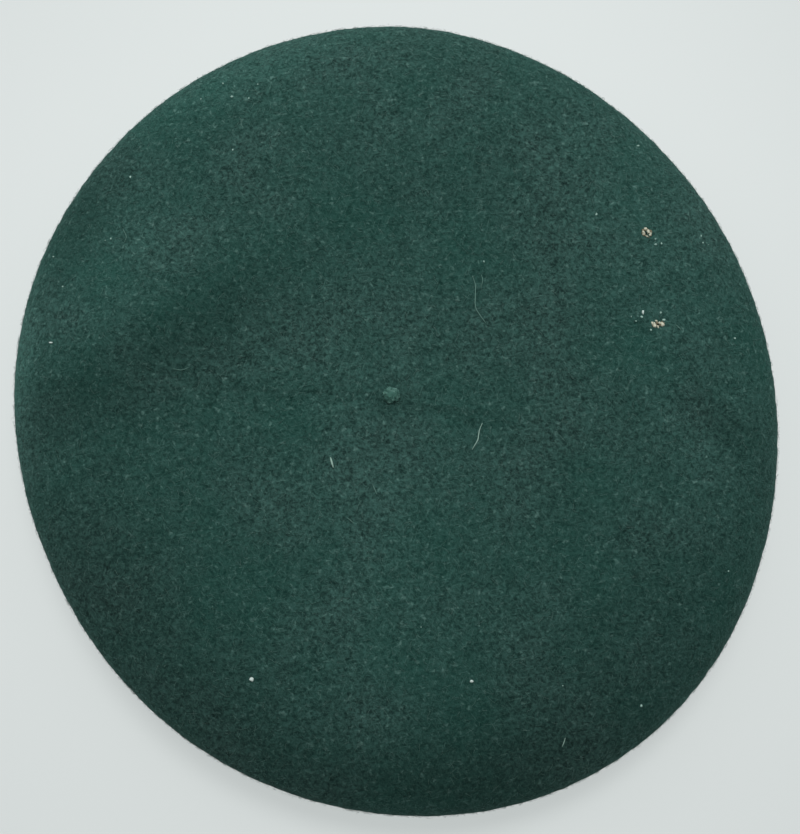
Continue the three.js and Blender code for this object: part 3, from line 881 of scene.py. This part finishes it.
def binding_outline():
    """The folded leather's section, as distances out from the head oval and heights."""
    bend = 1.8 * MM
    lip = LEATHER / 2
    outer = BINDING_WIDTH
    points = arc((outer - bend, bend), bend, -90, 0, 6)
    points += [(outer, z) for z in np.arange(bend + 1 * MM, OUTER_LIP - 1 * MM, 0.8 * MM)]
    points += arc((outer - lip, OUTER_LIP - lip), lip, 0, 180, 7)
    points += [(outer - LEATHER, z) for z in (10 * MM, 5 * MM)]
    points += arc((outer - LEATHER - 1.2 * MM, LEATHER + 1.2 * MM), 1.2 * MM, 0, -90, 4)
    points += arc((LEATHER + 1.2 * MM, LEATHER + 1.2 * MM), 1.2 * MM, -90, -180, 4)
    points += [(LEATHER, z) for z in (5 * MM, 10 * MM)]
    points += arc((lip, INNER_LIP - lip), lip, 0, 180, 7)
    points += [(0, z) for z in np.arange(INNER_LIP - 1 * MM, bend + 1 * MM, -0.8 * MM)]
    points += arc((bend, bend), bend, 180, 270, 6)
    return np.array(points)


def around_head(turns, outward, height):
    turn, outward = np.broadcast_arrays(turns[:, None], outward)
    plan = head_oval(turn, outward)
    return np.concatenate([plan, np.broadcast_to(height, turn.shape)[..., None]], axis=-1)


def edge_binding(material):
    outline = binding_outline()
    turns = open_turns(760, BACK_OPENING)
    middle = BINDING_WIDTH / 2
    facing = np.sign(outline[:, 0] - middle)
    face = np.abs(outline[:, 0] - middle) > middle - LEATHER * 0.6
    along = turns * (HEAD_LENGTH + HEAD_WIDTH) / 4
    flat = around_head(turns, outline[:, 0], outline[:, 1])
    ease = smoothstep(outline[:, 1], 1.5 * MM, 8 * MM)
    groove = np.exp(-((outline[:, 1] - STITCH_HEIGHT) / (0.9 * MM)) ** 2) * face
    pucker = 0.05 * MM * np.cos(along / STITCH_PITCH * FULL)[:, None] * (ease * face)
    swell = 0.12 * MM * ripple(flat, 24 * MM, 31) * ease + 0.05 * MM * ripple(flat, 7 * MM, 32) * face
    outward = outline[:, 0] + facing * (pucker + swell - 0.2 * MM * groove)
    lip_wave = 0.22 * MM * ripple(flat, 19 * MM, 33) * smoothstep(outline[:, 1], 6 * MM, 15 * MM)
    section = around_head(turns, outward, outline[:, 1] + lip_wave)
    rows, columns = section.shape[:2]
    faces = grid_faces(rows, columns, False, True) + end_strips(rows, columns)
    binding = new_piece("edge_binding_leather", section, faces, material)
    face_outward(binding, weld=True)
    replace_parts(binding, "edge_binding")


def stitches(name, line, normal, pitch, radius, material, node):
    """Two-ply lockstitches along a line, each rising from the leather or cloth and diving back."""
    run = run_along(line)
    count = int(run[-1] / pitch)
    share = np.linspace(0, 1, 9)
    at = (np.arange(count)[:, None] + 0.1 + 0.8 * share) * (run[-1] / count)

    def along(values):
        return np.stack([np.interp(at, run, values[:, k]) for k in range(3)], axis=-1)

    centre, up = along(line), along(normal)
    forward = np.gradient(centre, axis=1)
    forward /= np.linalg.norm(forward, axis=-1, keepdims=True)
    side = np.cross(up, forward)
    rise = radius * (2.2 * np.sin(share * math.pi) ** 0.5 - 1.6)[None, :, None]
    paths = []
    for phase in (0, math.pi):
        twist = (share * 2.2 * FULL + phase)[None, :, None]
        paths.append(centre + up * rise + (up * np.cos(twist) + side * np.sin(twist)) * radius * 0.5)
    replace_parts(new_tubes(name, np.concatenate(paths), radius * 0.62, 6, material), node)


def binding_stitches(material):
    turns = open_turns(900, 12 * MM)
    for name, node, outward, facing in (
        ("needle_stitches", "binding_needle_thread", BINDING_WIDTH, 1),
        ("bobbin_stitches", "binding_bobbin_thread", 0.0, -1),
    ):
        line = around_head(turns, outward, STITCH_HEIGHT)[:, 0]
        beyond = around_head(turns, outward + facing * MM, STITCH_HEIGHT)[:, 0]
        stitches(name, line, (beyond - line) / MM, STITCH_PITCH, 0.34 * MM, material, node)


def bartack(side, material):
    """A dense bar of cross threads beside the opening, over two long threads."""
    centre = math.pi + side * math.radians(2)
    face = BINDING_WIDTH + 0.1 * MM
    half_turn = 1.05 * MM / (HEAD_LENGTH / 2)
    share = np.linspace(-1, 1, 9)
    heights = np.arange(5.8 * MM, 13 * MM, 0.42 * MM)
    bars = []
    for number, height in enumerate(heights):
        slant = 0.16 * MM * share * (-1) ** number
        plan = head_oval(centre + share * half_turn, face + 0.42 * MM * np.cos(share * QUARTER) - 0.2 * MM)
        bars.append(np.column_stack([plan, height + slant]))
    for offset in (-0.4, 0.4):
        plan = head_oval(np.full(9, centre + offset * half_turn), np.full(9, face))
        bars.append(np.column_stack([plan, np.linspace(heights[0], heights[-1], 9)]))
    name = "left" if side < 0 else "right"
    piece = new_tubes(f"bartack_{name}_threads", bars, 0.21 * MM, 6, material)
    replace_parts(piece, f"bartack_{name}")


TAPE_WIDTH = 3 * MM
TAPE_THICKNESS = 1 * MM
TAPE_HEIGHT = 3.2 * MM
KNOT_OUT = 3.6 * MM
KNOT_HEIGHT = 5.4 * MM
BACK = -(HEAD_LENGTH / 2 + BINDING_WIDTH)
KNOT = np.array([BACK - KNOT_OUT, 0, KNOT_HEIGHT])


def tape(points):
    """Vertices of a flat woven tape on edge along a path, and how far each lies along and across it."""
    rim = 0.22
    outline = np.array([(0.5, -0.5 + rim), (0.5, 0), (0.5, 0.5 - rim), (0.25, 0.5), (-0.25, 0.5),
                        (-0.5, 0.5 - rim), (-0.5, 0), (-0.5, -0.5 + rim), (-0.25, -0.5), (0.25, -0.5)])
    forward = np.gradient(points, axis=0)
    outward = np.stack([forward[:, 1], -forward[:, 0], np.zeros(len(points))], axis=-1)
    outward /= np.linalg.norm(outward, axis=1, keepdims=True)
    upward = np.cross(outward, forward)
    upward /= -np.linalg.norm(upward, axis=1, keepdims=True)
    upward *= np.sign(upward[:, 2:])
    run = run_along(points)
    rings = (points[:, None] + outward[:, None] * outline[:, :1] * TAPE_THICKNESS
             + upward[:, None] * outline[:, 1:] * TAPE_WIDTH)
    across = np.broadcast_to(outline[:, 1] * TAPE_WIDTH, rings.shape[:2])
    return rings, np.broadcast_to(run[:, None], rings.shape[:2]), across


def channel_run():
    """The tape's path round the binding's fold, from the knot and back to it."""
    channel = (LEATHER + FELT_OUTSIDE + GAP) / 2
    turns = open_turns(420, BACK_OPENING + 6 * MM)
    in_channel = around_head(turns, channel, TAPE_HEIGHT)[:, 0]

    def way_out(side):
        return np.array([
            (BACK + 1.6 * MM, side * (TAPE_THICKNESS + 0.25 * MM), TAPE_HEIGHT),
            (BACK, side * TAPE_THICKNESS, TAPE_HEIGHT),
            (KNOT[0], side * TAPE_THICKNESS * 0.9, TAPE_HEIGHT + 0.6 * MM),
        ])

    first = smooth_path([*way_out(-1)[::-1], in_channel[0]], 16)[:-1]
    last = smooth_path([in_channel[-1], *way_out(1)], 16)[1:]
    return np.concatenate([first, in_channel, last])


def bow_runs():
    """The paths of the bow's two loops and two tails, from points in mm out from the knot."""
    loop = [(0.4, 1.5, 0.4), (-2.2, 7, 1.2), (-2.2, 14, 0.6), (0.6, 17.5, 0), (2.3, 13, 0.2), (1.9, 6, 0.4),
            (0.2, 1, 0)]
    tail = [(-0.8, 1, -0.6), (-3.6, 5, -1.6), (-6.2, 12, -2.6), (-8, 19, -3.4)]
    return [smooth_path(KNOT + np.array(route) * MM * (1, side, 1), steps)
            for side in (-1, 1) for route, steps in ((loop, 70), (tail, 40))]


def drawstring(material):
    vertices, faces, along, across = [], [], [], []
    count = 0
    for run in (channel_run(), *bow_runs()):
        rings, lengths, widths = tape(run)
        rows, columns = rings.shape[:2]
        last_ring = count + (rows - 1) * columns
        faces += grid_faces(rows, columns, False, True, count)
        faces += [list(range(start, start + columns)) for start in (count, last_ring)]
        vertices.append(rings.reshape(-1, 3))
        along.append(lengths.ravel())
        across.append(widths.ravel())
        count += rows * columns
    cord = new_piece("drawstring_tape", np.concatenate(vertices), faces, material)
    set_cloth(cord, np.concatenate(along), np.concatenate(across))
    face_outward(cord)
    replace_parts(cord, "drawstring")
    knot_wrap(material)


def knot_wrap(material):
    """The tape's turn round the middle of the bow, creased where it is pulled tight."""
    turn, share = np.meshgrid(ring_turns(48), ring_turns(24), indexing="ij")
    width = 1.9 * MM * (1 + 0.12 * np.cos(2 * turn))
    swell = 0.85 * MM + 0.16 * MM * np.cos(3 * share + turn)
    radius = 1.55 * MM + swell * np.cos(share)
    wrap = np.stack([
        KNOT[0] + radius * np.cos(turn) * 1.05,
        KNOT[1] + width * np.sin(share) + 0.5 * MM * np.sin(turn),
        KNOT[2] + radius * np.sin(turn) * 1.12,
    ], axis=-1)
    knot = new_piece("drawstring_knot", wrap, grid_faces(*turn.shape, True, True), material)
    set_cloth(knot, turn * 2 * MM, share * MM)
    face_outward(knot)


# ---- Lining and labels ----


def lining_depth(station):
    return mix(FELT + GAP, LINING_DEPTH, smoothstep(station, NECK, FLARE))


def lining_shell(name, stations, node, material):
    """Thin cloth under the felt, with puckers where it is gathered into its seam."""
    turn, station = np.meshgrid(ring_turns(300), stations, indexing="ij")
    base, _ = shaped(turn, station)
    from_seam = np.abs(station - LINING_SEAM) / 0.16
    pucker = 0.3 * MM * np.cos(64 * turn + 1.5 * np.sin(7 * turn)) * np.exp(-from_seam)
    radius = np.linalg.norm(base[..., :2], axis=-1)
    loose = smoothstep(radius, 45 * MM, 70 * MM) * smoothstep(station, 1.6, 2.4)
    slack = (0.25 * MM * ripple(base, 30 * MM, 41) + 0.1 * MM * ripple(base, 9 * MM, 42)) * loose
    depth = lining_depth(station) + pucker * loose + slack
    outer, _ = shaped(turn, station, depth)
    inner, _ = shaped(turn, station, depth + LINING * 0.7)
    sections = there_and_back(outer, inner)
    piece = new_piece(name, sections, grid_faces(*sections.shape[:2], True, True), material)
    run = np.interp(station, stations, run_along(base[0]))
    if stations[-1] == TOP:
        along, across = base[..., 0], base[..., 1]
    else:
        along, across = turn * CROWN_RADIUS, run
    set_cloth(piece, there_and_back(along), there_and_back(across))
    face_outward(piece, weld=True)
    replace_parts(piece, node)
    return piece


def lining(material, thread):
    clearance = 0.006
    stations = even_stations(LINING_SEAM + clearance, TOP, 2 * MM)
    tip = lining_shell("lining_tip_cloth", stations, "lining_tip", material)
    stations = even_stations(0.08, LINING_SEAM - clearance, 2 * MM)
    side = lining_shell("lining_side_cloth", stations, "lining_side", material)
    turns = np.linspace(0, FULL, 900)
    line, up = shaped(turns, LINING_SEAM, LINING_DEPTH + LINING)
    stitches("lining_seam_stitches", line, -up, 2.6 * MM, 0.3 * MM, thread, "lining_seam_thread")


def slab(name, near, far, material, along, across):
    """A thin closed sheet between two grids of points."""
    loops = there_and_back(near, far)
    rows, columns = loops.shape[:2]
    faces = grid_faces(rows, columns, False, True) + end_strips(rows, columns)
    piece = new_piece(name, loops, faces, material)
    set_cloth(piece, there_and_back(along), there_and_back(across))
    face_outward(piece)
    return piece


def lining_label(material, thread):
    """A blank woven label, laid on the lining under the crown and sewn round its edge."""
    low, high = (np.array(corner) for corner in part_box("lining_label"))
    centre, half = (low + high) / 2, (high - low) / 2
    x, y = np.meshgrid(np.linspace(-1, 1, 46), np.linspace(-1, 1, 64), indexing="ij")
    edge = np.maximum(np.abs(x), np.abs(y))
    curl = 0.1 * MM * ripple(np.stack([x * half[0], y * half[1], 0 * x], axis=-1), 16 * MM, 51)
    hem = smoothstep(edge, 0.9, 0.94) * 0.12 * MM
    far = np.stack([centre[0] + x * half[0], centre[1] + y * half[1], low[2] + curl - hem], axis=-1)
    near = far + np.array([0, 0, 0.36 * MM])
    label = slab("lining_label_cloth", near, far, material, near[..., 0], near[..., 1])
    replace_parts(label, "lining_label")
    low, high = (np.array(corner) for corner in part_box("lining_label_thread"))
    corners = [(low[0], low[1]), (high[0], low[1]), (high[0], high[1]), (low[0], high[1]), (low[0], low[1])]
    line = np.concatenate([np.linspace(a, b, 60) for a, b in zip(corners, corners[1:])])
    line = np.column_stack([line, np.full(len(line), high[2] + 0.25 * MM)])
    down = np.broadcast_to([0.0, 0.0, -1.0], line.shape)
    stitches("lining_label_stitches", line, down, 2.4 * MM, 0.24 * MM, thread, "lining_label_thread")


def size_label(material):
    """A small blank tab on the inside of the leather, at the back left."""
    turns = math.radians(150) + math.radians(4) * np.linspace(-1, 1, 24)
    turn, height = np.meshgrid(turns, np.linspace(5.9 * MM, 11.3 * MM, 12), indexing="ij")
    near, far = (np.concatenate([head_oval(turn, outward), height[..., None]], axis=-1)
                 for outward in (-GAP, -GAP - 0.4 * MM))
    tab = slab("size_label_cloth", near, far, material, turn * HEAD_LENGTH / 2, height)
    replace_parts(tab, "size_label")


def badge_stiffener(material):
    """A buckram panel that lies between the felt and the lining at the front left."""
    across, station = np.meshgrid(np.linspace(-1, 1, 60), np.linspace(-1, 1, 44), indexing="ij")
    turn = math.radians(24) + math.radians(14) * across
    station = 4.58 + 0.2 * station
    near, _ = shaped(turn, station, FELT + 0.5 * MM)
    far, _ = shaped(turn, station, FELT + 1.3 * MM)
    panel = slab("badge_stiffener_panel", near, far, material, near[..., 0], near[..., 1])
    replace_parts(panel, "badge_stiffener")


# ---- Ventilation eyelets ----

VENT_HOLE = 3.2 * MM
VENT_STATION = 2.55
VENT_APART = 50 * MM
VENT_CIRCLE = 113 * MM


def vent_places():
    """Where the eyelets' axes meet the felt's outer face, and the turn from +Z to its normal."""
    places = []
    for side in (1, -1):
        turn = -QUARTER + side * math.asin(VENT_APART / 2 / VENT_CIRCLE)
        point, normal = shaped(turn, VENT_STATION)
        places.append((Vector(point), Vector(normal).to_track_quat("Z", "Y")))
    return places


def punch(piece, place):
    """Cuts a vent's hole through the felt."""
    work = bmesh.new()
    bmesh.ops.create_cone(work, cap_ends=True, segments=40, radius1=VENT_HOLE, radius2=VENT_HOLE,
                          depth=4 * FELT)
    mesh = bpy.data.meshes.new("punch")
    work.to_mesh(mesh)
    work.free()
    cutter = bpy.data.objects.new("punch", mesh)
    cutter.location = place[0]
    cutter.rotation_mode = "QUATERNION"
    cutter.rotation_quaternion = place[1]
    bpy.context.scene.collection.objects.link(cutter)
    cut = piece.modifiers.new("punch", "BOOLEAN")
    cut.object = cutter
    cut.operation = "DIFFERENCE"
    cut.solver = "EXACT"
    apply_modifiers(piece)
    bpy.data.objects.remove(cutter)


def apply_modifiers(piece):
    bpy.context.view_layer.update()
    shown = piece.evaluated_get(bpy.context.evaluated_depsgraph_get())
    mesh = bpy.data.meshes.new_from_object(shown)
    piece.modifiers.clear()
    piece.data = mesh


def turned(name, profile, place, material, node):
    """A ring turned from a closed profile of radii and heights along the vent's axis."""
    radius, height = (np.array(values) * MM for values in zip(*profile))
    angle = ring_turns(64)[:, None]
    points = np.stack(np.broadcast_arrays(radius * np.cos(angle), radius * np.sin(angle), height), axis=-1)
    points = points.reshape(-1, 3) @ np.array(place[1].to_matrix()).T + np.array(place[0])
    ring = new_piece(name, points, grid_faces(64, len(profile), True, True), material)
    face_outward(ring)
    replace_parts(ring, node)


# Closed sections of the eyelet and its washer, in mm: radius, and height over the felt's outer face
EYELET = [
    (2.1, -3.9), (3.6, -3.9), (4.0, -3.75), (4.1, -3.6), (4.0, -3.45), (3.2, -3.4), (2.9, -3.1), (2.9, 0.1),
    (3.1, 0.25), (4.9, 0.25), (5.2, 0.4), (5.15, 0.6), (4.8, 0.8), (4.2, 0.95), (3.4, 1.0), (2.75, 0.85),
    (2.3, 0.5), (2.1, 0.0),
]
WASHER = [
    (3.2, -3.05), (3.3, -3.1), (5.0, -3.1), (5.2, -3.0), (5.2, -2.65), (5.05, -2.5), (3.3, -2.5), (3.2, -2.6),
]


def vents(material):
    for name, place in zip(("front", "rear"), vent_places()):
        turned(f"eyelet_{name}", EYELET, place, material, f"vent_eyelet_{name}")
        turned(f"washer_{name}", WASHER, place, material, f"vent_washer_{name}")


# ---- Floor, light and camera ----

FLOOR_HALF = 15.0
# The floor's glow is painted light, brightest near GLOW_MIDDLE as a painted pool of light and fading over
# GLOW_REACH.
GLOW_MIDDLE = (0.02, 0.05, 0)
GLOW_REACH = 0.35
GLOW_NEAR = 0.765
GLOW_FAR = 0.63
SKY_TOWARD = (-0.12, 0.86, 0.5)
SKY_DIM = 0.03
SKY_BRIGHT = 0.88
SOFTBOX_PLACE = Vector((0.02, 0.5, 1.5))
SOFTBOX_AIM = Vector((-0.03, 0.08, 0.03))
SOFTBOX_RADIUS = 0.36
CAMERA_AIM = Vector((1.8, -5.4, 35)) * MM
CAMERA_DISTANCE = 600 * MM
CAMERA_TILT = math.radians(9.5)
CAMERA_LENS = 79.7


def floor():
    """A pale table that glows with painted light of its own, most in a pool round the middle, which keeps the
    shadows on it light.
    """
    surface = Nodes("pale_surface", 0.7, specular=0.2)
    tone = surface.noise(surface.place, 0.25, 3)
    surface.base_colour(surface.blend(tone, colour(130, 133, 132), colour(138, 141, 140)))
    # Painted light: the floor glows though it is no lamp, brighter in a pool near the middle.
    surface.finish("Emission Color", colour(217, 223, 222))
    distance = surface.made("VectorMath", "Value", {0: surface.place, 1: GLOW_MIDDLE}, operation="DISTANCE")
    glow = surface.ramp(distance, 0, GLOW_REACH, GLOW_NEAR, GLOW_FAR)
    surface.finish("Emission Strength", glow)
    mesh = bpy.data.meshes.new("floor")
    corners = [(x * FLOOR_HALF, y * FLOOR_HALF, 0) for x, y in ((-1, -1), (1, -1), (1, 1), (-1, 1))]
    mesh.from_pydata(corners, [], [(0, 1, 2, 3)])
    mesh.materials.append(surface.material)
    plane = bpy.data.objects.new("floor", mesh)
    bpy.context.scene.collection.objects.link(plane)


def sky():
    """A soft room, brighter on the wearer's left and dim on the right."""
    world = bpy.data.worlds.new("soft_room")
    world.use_nodes = True
    tree = world.node_tree
    background = tree.nodes["Background"]
    background.inputs["Color"].default_value = (0.95, 0.985, 1.0, 1)
    direction = new_node(tree, "TexCoord", {}).outputs["Generated"]
    toward = new_node(tree, "VectorMath", {0: direction, 1: SKY_TOWARD}, operation="DOT_PRODUCT")
    fade = new_node(tree, "MapRange", {"Value": toward.outputs["Value"], "From Min": -0.3, "From Max": 0.95,
                                       "To Min": SKY_DIM, "To Max": SKY_BRIGHT})
    connect(tree, background, "Strength", fade.outputs["Result"])
    bpy.context.scene.world = world


def softbox():
    """One broad lamp over the wearer's left, which casts the soft shadow on the right."""
    light = bpy.data.lights.new("softbox", "SPOT")
    light.shadow_soft_size = SOFTBOX_RADIUS
    light.spot_size = math.radians(34)
    light.spot_blend = 1.0
    light.energy = 72
    lamp = bpy.data.objects.new("softbox", light)
    lamp.location = SOFTBOX_PLACE
    lamp.rotation_euler = (SOFTBOX_AIM - SOFTBOX_PLACE).to_track_quat("-Z", "Y").to_euler()
    bpy.context.scene.collection.objects.link(lamp)


def camera():
    """Looks down from above, a little from the wearer's right, as the photograph does."""
    lens = bpy.data.cameras.new("camera")
    lens.sensor_fit = "HORIZONTAL"
    lens.sensor_width = 36
    lens.lens = CAMERA_LENS
    view = bpy.data.objects.new("camera", lens)
    back = Vector((0, -math.sin(CAMERA_TILT), math.cos(CAMERA_TILT)))
    view.location = CAMERA_AIM + CAMERA_DISTANCE * back
    view.rotation_euler = (CAMERA_TILT, 0, 0)
    bpy.context.scene.collection.objects.link(view)
    bpy.context.scene.camera = view


# ---- Everything together ----


def beret():
    felt = felt_material()
    thread = thread_material()
    woven_black = woven_material("lining_cotton", colour(24, 27, 29), colour(52, 56, 58), 0.32 * MM)
    tape_black = woven_material("cotton_tape", colour(18, 19, 21), colour(48, 49, 52), 0.42 * MM, 0.85)
    woven_white = woven_material("label_tape", colour(188, 186, 176), colour(226, 224, 216), 0.26 * MM, 0.7)
    outer, normal = crown_felt(felt)
    crown_nub()
    crown_nap(outer, normal)
    crown_lint()
    edge_binding(leather_material())
    binding_stitches(thread)
    for side in (-1, 1):
        bartack(side, thread)
    drawstring(tape_black)
    lining(woven_black, thread)
    lining_label(woven_white, thread)
    size_label(woven_white)
    vents(japanned_material())
    badge_stiffener(buckram_material())


camera()
floor()
sky()
softbox()
bpy.context.scene.view_settings.view_transform = "Standard"
beret()
